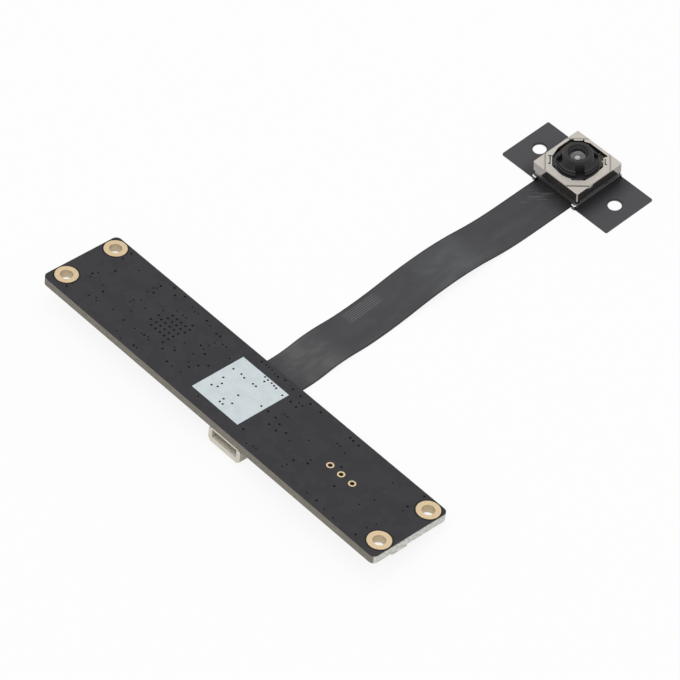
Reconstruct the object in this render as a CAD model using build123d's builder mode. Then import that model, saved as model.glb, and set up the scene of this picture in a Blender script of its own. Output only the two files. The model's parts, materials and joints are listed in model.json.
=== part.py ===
"""Autofocus camera module: a long circuit board, a flexible ribbon and a sensor head.

Lengths are in millimetres. The origin is the point where the optical axis meets the underside
of the sensor plate. +Z runs along the optical axis, out of the lens. +Y runs from the board to
the sensor head, and +X along the board. The module lies on a flat surface at Z = 0: the sensor
plate lies flat, and the board, face down, leans on its cable socket and its power inductors.
"""

import os
from math import atan2, cos, radians, sin, sqrt

from build123d import *

os.makedirs("parts", exist_ok=True)

# Circuit board
board_length = 80.0
board_width = 16.0
board_thickness = 1.6
board_corner = 1.0
hole_from_end = 2.25
hole_from_far_edge = 2.25
hole_from_near_edge = 3.25
mounting_hole_radius = 1.1
mounting_pad_radius = 2.0
pad_height = 0.04
header_pitch = 2.54
header_count = 3
header_x = 23.7
header_y = 0.15
header_hole_radius = 0.38
header_pad_radius = 0.66
print_square = 11.0
print_height = 0.03
tab_stub_width = 3.4
tab_stub_length = 0.25
tab_stub_y = -2.6
tab_stub_drop = 0.25

# Cable socket, on the underside with its mouth flush with the near edge
socket_x = 5.45
socket_width = 7.5
socket_height = 3.0
socket_depth = 4.4
socket_top_chamfer = (0.8, 0.45)
socket_low_chamfer = 0.6
cavity_width = 5.8
cavity_height = 1.65
cavity_roof = 0.35
cavity_depth = 3.3
contact_pitch = 1.25
contact_count = 4
contact_width = 0.32
contact_thickness = 0.3
contact_setback = 0.5
contact_foot = 0.9
foot_thickness = 0.2
tab_length = 1.8
tab_foot = 0.7
tab_height = 1.3

# Power inductors, the other feet that the board lies on
inductor_x = (-29.0, 21.5)
inductor_y = 4.3
inductor_size = 4.0
inductor_height = 1.6
inductor_corner = 0.6
terminal_thickness = 0.1
terminal_width = 1.1

# Chips on the underside
processor_centre = (-18.5, 0.6)
processor_size = 9.0
processor_height = 0.85
processor_standoff = 0.05
land_count = 12
land_pitch = 0.65
land_size = (0.25, 0.45)
land_overhang = 0.1
thermal_pad = 5.6
flash_centre = (-7.4, -3.6)
flash_size = (4.9, 3.9)
flash_height = 1.5
flash_lead_pitch = 1.27
flash_lead_count = 4
flash_lead_width = 0.42
regulator_centres = ((14.0, -4.9), (30.5, -3.4), (-34.0, -1.6))
regulator_size = (2.9, 1.6)
regulator_height = 1.1
regulator_lead_pitch = 0.95
regulator_lead_width = 0.4
chip_standoff = 0.1
lead_reach = 1.0
lead_foot = 0.5
lead_thickness = 0.15
crystal_centre = (-10.4, 4.6)
crystal_size = (3.2, 2.5)
crystal_base_height = 0.45
crystal_lid_inset = 0.15
crystal_lid_height = 0.3

# Small passive parts: centre of the row, how many, spacing
passive_size = (1.0, 0.5)
passive_height = 0.5
passive_cap = 0.22
capacitor_rows = (
    ((-25.4, 0.6), (1, 3), 1.8),
    ((-18.5, -5.6), (3, 1), 2.2),
    ((-1.5, -5.6), (2, 1), 1.8),
    ((12.8, 0.4), (1, 3), 1.4),
    ((28.0, 5.2), (2, 1), 1.8),
    ((32.0, 1.6), (1, 2), 1.6),
)
resistor_rows = (
    ((-18.5, 6.6), (3, 1), 2.2),
    ((17.5, -4.6), (1, 2), 1.6),
    ((-33.6, 3.4), (1, 2), 1.8),
    ((24.5, -4.9), (2, 1), 1.8),
)

# Board-to-board connector that the ribbon plugs into
ribbon_socket_y = 4.4
ribbon_socket_size = (9.0, 3.0)
ribbon_socket_height = 0.65
ribbon_socket_wall = 0.45
mated_height = 0.8
plug_gap = 0.08
plug_base = 0.15
ribbon_contact_pitch = 0.5
ribbon_contact_count = 10
ribbon_contact_width = 0.18
ribbon_contact_foot = 0.35
ribbon_contact_thickness = 0.1
backing_thickness = 0.2
backing_margin = 0.3

# Ribbon
ribbon_thickness = 0.12
ribbon_width = 8.6
board_to_lens = 74.6
board_side_shift = -1.05
# Troughs and crests of the free ribbon: share of the way to the plate, height of its underside
ribbon_waves = (
    (0.067, 0.06),
    (0.165, 0.50),
    (0.280, 0.10),
    (0.578, 1.32),
    (0.830, 0.10),
)

# Sensor plate
plate_length = 25.0
plate_width = 11.0
plate_thickness = 0.2
plate_corner = 0.25
plate_centre = (-0.25, 0.25)
plate_hole_spacing = 18.0
plate_hole_radius = 1.2
film_hole_radius = 1.38

# Sensor frame, image sensor and filter
frame_step = 0.05
frame_height = 0.7
frame_corner = 0.2
frame_cavity = (8.8, 8.2)
frame_cavity_height = 0.33
sensor_size = (6.3, 5.0)
sensor_thickness = 0.2
sensor_capacitor_size = (0.6, 0.3)
sensor_capacitor_height = 0.28
sensor_capacitor_x = 3.75
sensor_capacitor_pitch = 1.6
filter_size = (6.8, 5.6)
filter_thickness = 0.21
filter_gap = 0.08
filter_ledge = 0.5

# Actuator base and shield
base_size = 10.5
base_height = 0.73
base_hole_radius = 3.2
post_size = 1.6
post_height = 0.3
shield_size = 10.6
shield_height = 2.45
shield_wall = 0.2
shield_top = 0.25
shield_corner = 0.3
shield_bend = 0.12
shield_notch = 0.6
shield_notch_height = 0.5
step_from_axis = 5.5
step_depth = 0.1
groove_width = 0.16
groove_depth = 0.05
solder_size = (0.9, 0.42, 1.0)
solder_from_side = 0.6
solder_bevel = 0.14

# Opening of the shield: an arc and flats, straight sides, a lip and a heel at two corners
opening_radius = 4.05
opening_flat = 4.3
opening_flat_high = 1.3
opening_flat_low = -1.0
opening_flat_blend = 32
opening_side = 4.65
opening_side_start = -1.65
opening_side_end = 2.35
opening_side_bend = (-3.95, -2.15)
lip_from_axis = 5.03
lip_left = -1.2
lip_right = 1.12
lip_corner = 4.8
lip_relief_reach = 5.34
lip_relief_widths = (0.55, 0.25)
heel_from_axis = 4.25
heel_left = -1.05
heel_right = 1.2
heel_blend = 52
slot_from_axis = 4.63
slot_width = 0.2
slot_low = -0.45
slot_highs = (1.35, 0.85)
slot_reach = 4.98
relief_radius = 0.2

# Springs, magnets and coil
spring_thickness = 0.05
spring_rim = 0.2
spring_edge_gap = 0.05
spring_ring_width = 0.3
spring_arm_width = 0.13
spring_arm_near = 0.6
spring_arm_far = 3.2
lower_spring_split = 0.3
magnet_height = 1.3
magnet_half_width = 1.9
magnet_thickness = 1.1
magnet_coil_gap = 0.2
magnet_gap = 0.05

# Lens carrier, which slides along the optical axis
carrier_stop_gap = 0.03
carrier_hub_radius = 3.45
carrier_neck_radius = 3.9
carrier_body = 3.9
carrier_flange = 4.35
carrier_flange_height = 0.25
carrier_cover_height = 0.15
carrier_neck_height = 0.7
cover_notch_width = 0.7
cover_notch_turn = 58
ear_reach = 4.05
ear_half_width = 0.85
coil_gap = 0.02
coil_width = 0.43
neck_gap = 0.04

# Lens barrel: heights are measured from the top face of the lens carrier
thread_radius = 3.0
barrel_below = 2.55
flange_radius = 3.65
flange_height = 0.62
ledge_radius = 3.42
ledge_height = 1.0
cone_foot_radius = 3.05
cone_top_radius = 2.47
barrel_above = 2.5
nose_chamfer = 0.07
window_radius = 1.78
window_depth = 0.15
window_floor_radius = 1.35
window_floor_depth = 0.62
grip_notch_width = 1.6
grip_notch_radius = 2.6
grip_notch_floor = 0.12
grip_notch_turn = 52

# Lens elements: the front one is domed, the three behind it are spaced by the pitch
front_lens_radius = 1.75
front_lens_rim = 0.75
front_lens_bulge = 0.26
front_lens_clear_radius = 1.33
rear_lens_radius = 2.35
rear_lens_rim = 0.7
rear_lens_names = ("second_lens_element", "third_lens_element", "rear_lens_element")
lens_pitch = 0.95
lens_seat = 0.05
lens_ring_width = 0.45
lens_ring_height = 0.3

# Where the board lies
socket_rear_y = socket_depth - board_width / 2
inductor_far_y = inductor_y + inductor_size / 2
board_tilt = atan2(socket_height - inductor_height, inductor_far_y - socket_rear_y)
board_rise = socket_rear_y * sin(board_tilt) + (board_thickness + socket_height) * cos(board_tilt)
board_plane = Plane(
    origin=(board_side_shift, -board_to_lens, board_rise),
    x_dir=(1, 0, 0),
    z_dir=(0, sin(board_tilt), cos(board_tilt)),
)

# Sizes and heights of the sensor head
frame_size = base_size - 2 * frame_step
pad_top = plate_thickness + ribbon_thickness
frame_top = pad_top + frame_height
base_top = frame_top + base_height
lower_spring_z = base_top + post_height
magnet_z = lower_spring_z + spring_thickness
upper_spring_z = magnet_z + magnet_height
shield_z = base_top + shield_height
carrier_top = upper_spring_z + carrier_neck_height
shield_inner = shield_size / 2 - shield_wall
coil_inner = carrier_body + coil_gap
coil_outer = coil_inner + coil_width


def below(depth):
    """Plane under the board, at a depth below its underside."""
    return board_plane.offset(-board_thickness - depth)


def on_board(x, y, z):
    """Point given in the board's own directions, from the centre of its top face."""
    return board_plane.from_local_coords(Vector(x, y, z))


def board_section(x):
    """Plane across the board at x: first direction along its width, second out of its top."""
    return Plane(
        origin=on_board(x, 0, 0),
        x_dir=(0, cos(board_tilt), -sin(board_tilt)),
        z_dir=(1, 0, 0),
    )


def grid(centre, counts, pitch):
    """Centres of a grid of counts, spaced by pitch, about a centre."""
    columns, rows = counts
    return [
        (centre[0] + (i - (columns - 1) / 2) * pitch, centre[1] + (j - (rows - 1) / 2) * pitch)
        for i in range(columns)
        for j in range(rows)
    ]


def octagon(from_axis):
    """Octagon whose flats all lie one distance from the optical axis, in the current sketch."""
    RegularPolygon(from_axis, 8, major_radius=False, rotation=22.5)


def finish(piece, name):
    """Label a finished piece and write its file."""
    piece.part.label = name
    export_step(piece.part, f"parts/{name}.step")


mounting_points = [
    (side * (board_length / 2 - hole_from_end), y)
    for side in (-1, 1)
    for y in (board_width / 2 - hole_from_far_edge, hole_from_near_edge - board_width / 2)
]
header_points = [
    (header_x + (i - (header_count - 1) / 2) * header_pitch, header_y) for i in range(header_count)
]


def make_circuit_board():
    with BuildPart() as circuit_board:
        with BuildSketch(board_plane):
            RectangleRounded(board_length, board_width, board_corner)
            with Locations(*mounting_points):
                Circle(mounting_pad_radius, mode=Mode.SUBTRACT)
            with Locations(*header_points):
                Circle(header_pad_radius, mode=Mode.SUBTRACT)
        extrude(amount=-board_thickness)
        with BuildSketch(below(0)):
            with Locations((board_length / 2, tab_stub_y)):
                align = (Align.CENTER, Align.MIN)
                Trapezoid(tab_stub_width, tab_stub_length, 60, rotation=-90, align=align)
        extrude(amount=board_thickness - tab_stub_drop)
    finish(circuit_board, "circuit_board")


def make_plated_rings(name, points, hole_radius, pad_radius):
    """Plated holes: sleeves let into the board, as wide as their pads and proud of both faces."""
    with BuildPart() as rings:
        with BuildSketch(below(pad_height)):
            with Locations(*points):
                Circle(pad_radius)
                Circle(hole_radius, mode=Mode.SUBTRACT)
        extrude(amount=board_thickness + 2 * pad_height)
    finish(rings, name)


def make_print_square():
    with BuildPart() as white_print_square:
        with BuildSketch(board_plane):
            Rectangle(print_square, print_square)
        extrude(amount=print_height)
    finish(white_print_square, "white_print_square")


def contact_positions():
    return [socket_x + (i - (contact_count - 1) / 2) * contact_pitch for i in range(contact_count)]


def contact_height():
    """Height of the contacts' centre, in the board's own direction."""
    return -board_thickness - cavity_roof - cavity_height / 2


def make_cable_socket():
    """Side-entry socket: chamfered shell, open cavity, and one contact through its back wall each."""
    mouth = Plane(
        origin=on_board(socket_x, -board_width / 2, -board_thickness),
        x_dir=(1, 0, 0),
        z_dir=(0, -cos(board_tilt), sin(board_tilt)),
    )
    half = socket_width / 2
    side, drop = socket_top_chamfer
    low = socket_low_chamfer
    with BuildPart() as cable_socket_housing:
        with BuildSketch(mouth):
            with BuildLine():
                Polyline(
                    (-half + side, 0),
                    (half - side, 0),
                    (half, -drop),
                    (half, low - socket_height),
                    (half - low, -socket_height),
                    (low - half, -socket_height),
                    (-half, low - socket_height),
                    (-half, -drop),
                    close=True,
                )
            make_face()
        extrude(amount=-socket_depth)
        with BuildSketch(mouth):
            with Locations((0, -cavity_roof - cavity_height / 2)):
                Rectangle(cavity_width, cavity_height)
        extrude(amount=-cavity_depth, mode=Mode.SUBTRACT)
        with BuildSketch(mouth):
            with Locations((0, -cavity_roof - cavity_height / 2)):
                with GridLocations(contact_pitch, 0, contact_count, 1):
                    Rectangle(contact_width, contact_thickness)
        extrude(amount=-socket_depth, mode=Mode.SUBTRACT)
    finish(cable_socket_housing, "cable_socket_housing")

    low_z = contact_height() - contact_thickness / 2
    high_z = contact_height() + contact_thickness / 2
    tip_y = contact_setback - board_width / 2
    rear = socket_rear_y + contact_thickness
    with BuildPart() as cable_socket_contacts:
        for x in contact_positions():
            with BuildSketch(board_section(x)):
                with BuildLine():
                    Polyline(
                        (tip_y, low_z),
                        (rear, low_z),
                        (rear, -board_thickness - foot_thickness),
                        (rear + contact_foot, -board_thickness - foot_thickness),
                        (rear + contact_foot, -board_thickness),
                        (socket_rear_y, -board_thickness),
                        (socket_rear_y, high_z),
                        (tip_y, high_z),
                        close=True,
                    )
                make_face()
            extrude(amount=contact_width / 2, both=True)
    finish(cable_socket_contacts, "cable_socket_contacts")

    tab_y = socket_depth / 2 - board_width / 2
    with BuildPart() as cable_socket_tabs:
        for side_sign in (-1, 1):
            wall = socket_x + side_sign * half
            with BuildSketch(below(drop)):
                with Locations((wall + side_sign * foot_thickness / 2, tab_y)):
                    Rectangle(foot_thickness, tab_length)
            extrude(amount=-tab_height)
            with BuildSketch(below(0)):
                with Locations((wall + side_sign * tab_foot / 2, tab_y)):
                    Rectangle(tab_foot, tab_length)
            extrude(amount=-drop)
    finish(cable_socket_tabs, "cable_socket_tabs")


def make_inductors():
    points = [(x, inductor_y) for x in inductor_x]
    with BuildPart() as power_inductors:
        with BuildSketch(below(terminal_thickness)):
            with Locations(*points):
                Rectangle(inductor_size, inductor_size)
            chamfer(vertices(), inductor_corner)
        extrude(amount=terminal_thickness - inductor_height)
    finish(power_inductors, "power_inductors")
    with BuildPart() as inductor_terminals:
        with BuildSketch(below(0)):
            for x, y in points:
                with Locations((x, y)):
                    with GridLocations(inductor_size - terminal_width, 0, 2, 1):
                        Rectangle(terminal_width, inductor_size - 2 * inductor_corner)
        extrude(amount=-terminal_thickness)
    finish(inductor_terminals, "inductor_terminals")


def make_processor():
    x, y = processor_centre
    edge = processor_size / 2 + land_overhang - land_size[1] / 2
    with BuildPart() as processor_chip:
        with BuildSketch(below(processor_standoff)):
            with Locations(processor_centre):
                Rectangle(processor_size, processor_size)
        extrude(amount=processor_standoff - processor_height)
    finish(processor_chip, "processor_chip")
    with BuildPart() as processor_lands:
        with BuildSketch(below(0)):
            with Locations(processor_centre):
                Rectangle(thermal_pad, thermal_pad)
            for sign in (-1, 1):
                with Locations((x, y + sign * edge)):
                    with GridLocations(land_pitch, 0, land_count, 1):
                        Rectangle(land_size[0], land_size[1])
                with Locations((x + sign * edge, y)):
                    with GridLocations(0, land_pitch, 1, land_count):
                        Rectangle(land_size[1], land_size[0])
        extrude(amount=-processor_standoff)
    finish(processor_lands, "processor_lands")


def gull_wing(centre, side, body_size, body_height):
    """Profile of a gull-wing lead in the plane across the board, on one side of a chip."""
    flank = centre[1] + side * body_size[1] / 2
    bend = flank + side * (lead_reach - lead_foot)
    toe = flank + side * lead_reach
    mid = -board_thickness - chip_standoff - (body_height - chip_standoff) / 2
    seat = -board_thickness
    return [
        (flank, mid),
        (bend - side * lead_thickness, mid),
        (bend - side * lead_thickness, seat),
        (toe, seat),
        (toe, seat - lead_thickness),
        (bend, seat - lead_thickness),
        (bend, mid - lead_thickness),
        (flank, mid - lead_thickness),
    ]


def make_chip_bodies(name, centres, size, height):
    """Moulded chip bodies, with bevelled edges round the exposed face."""
    with BuildPart() as bodies:
        with BuildSketch(below(chip_standoff)):
            with Locations(*centres):
                Rectangle(*size)
        extrude(amount=chip_standoff - height)
        exposed = bodies.faces().sort_by(Axis(board_plane.origin, board_plane.z_dir))
        chamfer(exposed[: len(centres)].edges(), lead_thickness)
    finish(bodies, name)


def make_chips():
    make_chip_bodies("flash_chip", [flash_centre], flash_size, flash_height)
    x, y = flash_centre
    leads = [(i - (flash_lead_count - 1) / 2) * flash_lead_pitch for i in range(flash_lead_count)]
    with BuildPart() as flash_chip_leads:
        for side in (-1, 1):
            for lead in leads:
                with BuildSketch(board_section(x + lead)):
                    with BuildLine():
                        Polyline(*gull_wing(flash_centre, side, flash_size, flash_height), close=True)
                    make_face()
                extrude(amount=flash_lead_width / 2, both=True)
    finish(flash_chip_leads, "flash_chip_leads")

    make_chip_bodies("voltage_regulators", regulator_centres, regulator_size, regulator_height)
    places = ((-1, -1), (-1, 0), (-1, 1), (1, -1), (1, 1))
    with BuildPart() as regulator_leads:
        for centre in regulator_centres:
            for side, place in places:
                with BuildSketch(board_section(centre[0] + place * regulator_lead_pitch)):
                    with BuildLine():
                        Polyline(
                            *gull_wing(centre, side, regulator_size, regulator_height), close=True
                        )
                    make_face()
                extrude(amount=regulator_lead_width / 2, both=True)
    finish(regulator_leads, "regulator_leads")


def make_crystal():
    with BuildPart() as crystal_base:
        with BuildSketch(below(0)):
            with Locations(crystal_centre):
                Rectangle(*crystal_size)
        extrude(amount=-crystal_base_height)
    finish(crystal_base, "crystal_base")
    with BuildPart() as crystal_lid:
        with BuildSketch(below(crystal_base_height)):
            with Locations(crystal_centre):
                Rectangle(
                    crystal_size[0] - 2 * crystal_lid_inset,
                    crystal_size[1] - 2 * crystal_lid_inset,
                )
            chamfer(vertices(), crystal_lid_inset)
        extrude(amount=-crystal_lid_height)
    finish(crystal_lid, "crystal_lid")


def make_passives(kind, rows):
    """Chip capacitors or resistors: ceramic bodies and plated end caps."""
    length, width = passive_size
    body_length = length - 2 * passive_cap
    points = [point for centre, counts, pitch in rows for point in grid(centre, counts, pitch)]
    with BuildPart() as bodies:
        with BuildSketch(below(0)):
            with Locations(*points):
                Rectangle(body_length, width)
        extrude(amount=-passive_height)
    finish(bodies, f"{kind}_bodies")
    with BuildPart() as end_caps:
        with BuildSketch(below(0)):
            for x, y in points:
                with Locations((x, y)):
                    with GridLocations(length - passive_cap, 0, 2, 1):
                        Rectangle(passive_cap, width)
        extrude(amount=-passive_height)
    finish(end_caps, f"{kind}_end_caps")


def make_ribbon_connector():
    """Low board-to-board pair: a tray on the board, and a plug on the ribbon that drops into it."""
    length, width = ribbon_socket_size
    inner = (length - 2 * ribbon_socket_wall, width - 2 * ribbon_socket_wall)
    plug = (inner[0] - 2 * plug_gap, inner[1] - 2 * plug_gap)
    centre = (0, ribbon_socket_y)
    floor = plug_base
    with BuildPart() as ribbon_socket:
        with BuildSketch(below(0)):
            with Locations(centre):
                Rectangle(length, width)
        extrude(amount=-ribbon_socket_height)
        with BuildSketch(below(floor)):
            with Locations(centre):
                Rectangle(*inner)
        extrude(amount=floor - ribbon_socket_height, mode=Mode.SUBTRACT)
    finish(ribbon_socket, "ribbon_socket")

    with BuildPart() as ribbon_plug:
        with BuildSketch(below(ribbon_socket_height)):
            with Locations(centre):
                Rectangle(length, width)
        extrude(amount=ribbon_socket_height - mated_height)
        with BuildSketch(below(ribbon_socket_height)):
            with Locations(centre):
                Rectangle(*plug)
                Rectangle(
                    plug[0] - 2 * ribbon_socket_wall, plug[1] - 2 * ribbon_socket_wall,
                    mode=Mode.SUBTRACT,
                )
        extrude(amount=ribbon_socket_height - floor - plug_gap)
    finish(ribbon_plug, "ribbon_plug")

    with BuildPart() as ribbon_socket_contacts:
        for sign in (-1, 1):
            with BuildSketch(below(0)):
                with Locations((0, ribbon_socket_y + sign * (width + ribbon_contact_foot) / 2)):
                    with GridLocations(ribbon_contact_pitch, 0, ribbon_contact_count, 1):
                        Rectangle(ribbon_contact_width, ribbon_contact_foot)
            extrude(amount=-ribbon_contact_thickness)
    finish(ribbon_socket_contacts, "ribbon_socket_contacts")

    with BuildPart() as plug_backing_plate:
        with BuildSketch(below(mated_height + ribbon_thickness)):
            with Locations(centre):
                Rectangle(length + 2 * backing_margin, width + 2 * backing_margin)
            chamfer(vertices(), backing_margin)
        extrude(amount=-backing_thickness)
    finish(plug_backing_plate, "plug_backing_plate")


def plate_outline(hole_radius):
    """Outline of the sensor plate or of the ribbon's head pad, in the current sketch."""
    with Locations(plate_centre):
        RectangleRounded(plate_length, plate_width, plate_corner)
        with GridLocations(plate_hole_spacing, 0, 2, 1):
            Circle(hole_radius, mode=Mode.SUBTRACT)


def s_bends(start, leaving, stops):
    """Line in the current sketch, level at every stop, with two arcs that meet smoothly to each."""
    here = Vector(*start)
    level = Vector(1, 0)
    for stop in stops:
        there = Vector(*stop)
        step = there - here
        turn = 2 * (leaving.dot(level) - 1)
        reach = 2 * step.dot(leaving + level)
        square = step.dot(step)
        arm = 2 * square / (sqrt(reach * reach - 4 * turn * square) + reach)
        meeting = (here + leaving * arm + there - level * arm) / 2
        first = TangentArc(here, meeting, tangent=leaving)
        TangentArc(meeting, there, tangent=first % 1)
        here = there
        leaving = level


def make_ribbon():
    """The ribbon's waves are drawn from the side and cut to its outline seen from above."""
    pad_y = ribbon_socket_size[1] / 2 + backing_margin
    pad_z = -board_thickness - mated_height
    near_y = ribbon_socket_y - pad_y
    far_y = ribbon_socket_y + pad_y
    near_top = on_board(0, near_y, pad_z)
    near_low = on_board(0, near_y, pad_z - ribbon_thickness)
    far_top = on_board(0, far_y, pad_z)
    far_low = on_board(0, far_y, pad_z - ribbon_thickness)
    edge = on_board(0, board_width / 2, -board_thickness)
    head_x, head_y = plate_centre
    pad_near = head_y - plate_width / 2
    pad_far = head_y + plate_width / 2
    run = pad_near - edge.Y
    waves = [(edge.Y + share * run, height) for share, height in ribbon_waves]
    upper_waves = [(y, height + ribbon_thickness) for y, height in waves]
    leave = Vector(cos(board_tilt), -sin(board_tilt))
    half = plate_length
    with BuildPart() as ribbon_cable:
        with BuildSketch(Plane.YZ.offset(-half)):
            with BuildLine():
                Line((near_low.Y, near_low.Z), (far_low.Y, far_low.Z))
                s_bends((far_low.Y, far_low.Z), leave, [*waves, (pad_near, plate_thickness)])
                Polyline(
                    (pad_near, plate_thickness),
                    (pad_far, plate_thickness),
                    (pad_far, pad_top),
                    (pad_near, pad_top),
                )
                s_bends((far_top.Y, far_top.Z), leave, [*upper_waves, (pad_near, pad_top)])
                Polyline(
                    (far_top.Y, far_top.Z), (near_top.Y, near_top.Z), (near_low.Y, near_low.Z)
                )
            make_face()
        extrude(amount=2 * half)
        with BuildSketch(Plane.XY.offset(-board_rise)):
            with BuildLine():
                Polyline(
                    (board_side_shift - ribbon_width / 2, edge.Y),
                    (board_side_shift + ribbon_width / 2, edge.Y),
                    (head_x + ribbon_width / 2, pad_near + plate_corner),
                    (head_x - ribbon_width / 2, pad_near + plate_corner),
                    close=True,
                )
            make_face()
            with Locations((board_side_shift, (near_top.Y + edge.Y) / 2)):
                Rectangle(ribbon_width, edge.Y - near_top.Y)
            plate_outline(film_hole_radius)
        extrude(amount=3 * board_rise, mode=Mode.INTERSECT)
    finish(ribbon_cable, "ribbon_cable")


def make_sensor_plate():
    with BuildPart() as sensor_plate:
        with BuildSketch():
            plate_outline(plate_hole_radius)
        extrude(amount=plate_thickness)
    finish(sensor_plate, "sensor_plate")


def make_sensor_frame():
    """Frame over the image sensor: cavity below, filter ledge and window above."""
    window = (filter_size[0] - 2 * filter_ledge, filter_size[1] - 2 * filter_ledge)
    with BuildPart() as sensor_frame:
        with BuildSketch(Plane.XY.offset(pad_top)):
            Rectangle(frame_size, frame_size)
            chamfer(vertices(), frame_corner)
        extrude(amount=frame_height)
        with BuildSketch(Plane.XY.offset(pad_top)):
            Rectangle(*frame_cavity)
        extrude(amount=frame_cavity_height, mode=Mode.SUBTRACT)
        with BuildSketch(Plane.XY.offset(pad_top)):
            Rectangle(*window)
        extrude(amount=frame_height, mode=Mode.SUBTRACT)
        with BuildSketch(Plane.XY.offset(frame_top)):
            Rectangle(filter_size[0] + 2 * filter_gap, filter_size[1] + 2 * filter_gap)
        extrude(amount=-filter_thickness, mode=Mode.SUBTRACT)
    finish(sensor_frame, "sensor_frame")

    with BuildPart() as infrared_filter:
        with BuildSketch(Plane.XY.offset(frame_top - filter_thickness)):
            Rectangle(*filter_size)
        extrude(amount=filter_thickness)
    finish(infrared_filter, "infrared_filter")

    with BuildPart() as image_sensor:
        with BuildSketch(Plane.XY.offset(pad_top)):
            Rectangle(*sensor_size)
        extrude(amount=sensor_thickness)
    finish(image_sensor, "image_sensor")

    with BuildPart() as sensor_capacitors:
        with BuildSketch(Plane.XY.offset(pad_top)):
            with GridLocations(2 * sensor_capacitor_x, sensor_capacitor_pitch, 2, 3):
                Rectangle(sensor_capacitor_size[1], sensor_capacitor_size[0])
        extrude(amount=sensor_capacitor_height)
    finish(sensor_capacitors, "sensor_capacitors")


def make_actuator_base():
    """Plate with a round hole, and four corner posts that carry the lower springs."""
    post_centre = shield_inner - magnet_gap - post_size / 2
    with BuildPart() as actuator_base:
        with BuildSketch(Plane.XY.offset(frame_top)):
            Rectangle(base_size, base_size)
            chamfer(vertices(), frame_corner)
            Circle(base_hole_radius, mode=Mode.SUBTRACT)
        extrude(amount=base_height)
        with BuildSketch(Plane.XY.offset(base_top)):
            with GridLocations(2 * post_centre, 2 * post_centre, 2, 2):
                Rectangle(post_size, post_size)
        extrude(amount=post_height)
    finish(actuator_base, "actuator_base")


def corner_bands(from_axis, width):
    """Bands across the four corners, from_axis away from the optical axis, in the current sketch."""
    for corner in range(4):
        with Locations(Rotation(0, 0, 45 + 90 * corner)):
            with Locations((from_axis + width / 2, 0)):
                Rectangle(width, shield_size)


def turned(x, y):
    """Point given towards the +X +Y corner and towards the -X +Y corner."""
    return ((x - y) / sqrt(2), (x + y) / sqrt(2))


def on_opening(angle):
    """Point of the opening's arc, at an angle below the direction of the +X +Y corner."""
    return turned(opening_radius * cos(radians(angle)), -opening_radius * sin(radians(angle)))


def shield_opening():
    """Opening in the current sketch: arc, two flats, heel, lip with reliefs, two straight sides."""
    Circle(opening_radius)
    Polygon(
        turned(opening_flat, opening_flat_high),
        turned(opening_flat, opening_flat_low),
        on_opening(opening_flat_blend),
        on_opening(180 - opening_flat_blend),
        turned(-opening_flat, opening_flat_low),
        turned(-opening_flat, opening_flat_high),
        align=None,
    )
    Polygon(
        turned(heel_left, 0),
        turned(heel_left, -heel_from_axis),
        turned(heel_right, -heel_from_axis),
        on_opening(heel_blend),
        turned(heel_right, 0),
        align=None,
    )
    Polygon(
        (opening_side_end, 0),
        (opening_side_end, opening_side),
        (opening_side_start, opening_side),
        turned(lip_right, lip_corner),
        turned(lip_left, lip_corner),
        (-opening_side, lip_left * sqrt(2) + opening_side),
        (-opening_side, 0),
        opening_side_bend,
        (0, opening_side_bend[1]),
        align=None,
    )
    with Locations(Rotation(0, 0, 45)):
        with Locations(((lip_left + lip_right) / 2, lip_from_axis / 2)):
            Rectangle(lip_right - lip_left, lip_from_axis)
        for edge, width in zip((lip_left, lip_right - lip_relief_widths[1]), lip_relief_widths):
            with Locations((edge + width / 2, lip_relief_reach / 2)):
                Rectangle(width, lip_relief_reach)


def shield_slots():
    """Slots beside the two flats, in the current sketch: they free narrow tabs of the top."""
    left_high, right_high = slot_highs
    arm = slot_reach - opening_flat
    foot = slot_reach - slot_from_axis + slot_width / 2
    with Locations(Rotation(0, 0, 45)):
        for sign, high in ((-1, left_high), (1, right_high)):
            with Locations((sign * slot_from_axis, (slot_low + high) / 2)):
                Rectangle(slot_width, high - slot_low)
        with Locations((-slot_reach + arm / 2, left_high)):
            Rectangle(arm, slot_width)
        with Locations((-slot_from_axis - relief_radius / 2, slot_low)):
            Circle(relief_radius)
        with Locations((slot_reach - foot / 2, slot_low)):
            Rectangle(foot, slot_width)
    with Locations((opening_side_end, opening_side - relief_radius)):
        Circle(relief_radius)


def make_shield():
    """Drawn metal can: open below, stepped corners, opening with relief slots for the lens."""
    with BuildPart() as actuator_shield:
        with BuildSketch(Plane.XY.offset(base_top)):
            RectangleRounded(shield_size, shield_size, shield_corner)
        extrude(amount=shield_height)
        chamfer(actuator_shield.faces().sort_by(Axis.Z)[-1].edges(), shield_bend)
        with BuildSketch(Plane.XY.offset(base_top)):
            RectangleRounded(2 * shield_inner, 2 * shield_inner, shield_corner - shield_wall)
        extrude(amount=shield_height - shield_top, mode=Mode.SUBTRACT)
        with BuildSketch(Plane.XY.offset(base_top)):
            with GridLocations(shield_size, shield_size, 2, 2):
                Rectangle(2 * shield_notch, 2 * shield_notch)
        extrude(amount=shield_notch_height, mode=Mode.SUBTRACT)
        with BuildSketch(Plane.XY.offset(shield_z)):
            shield_opening()
            shield_slots()
        extrude(amount=-shield_top, mode=Mode.SUBTRACT)
        with BuildSketch(Plane.XY.offset(shield_z)):
            corner_bands(step_from_axis, shield_size)
        extrude(amount=-step_depth, mode=Mode.SUBTRACT)
        with BuildSketch(Plane.XY.offset(shield_z - step_depth)):
            corner_bands(step_from_axis, groove_width)
        extrude(amount=-groove_depth, mode=Mode.SUBTRACT)
    finish(actuator_shield, "actuator_shield")


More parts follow.
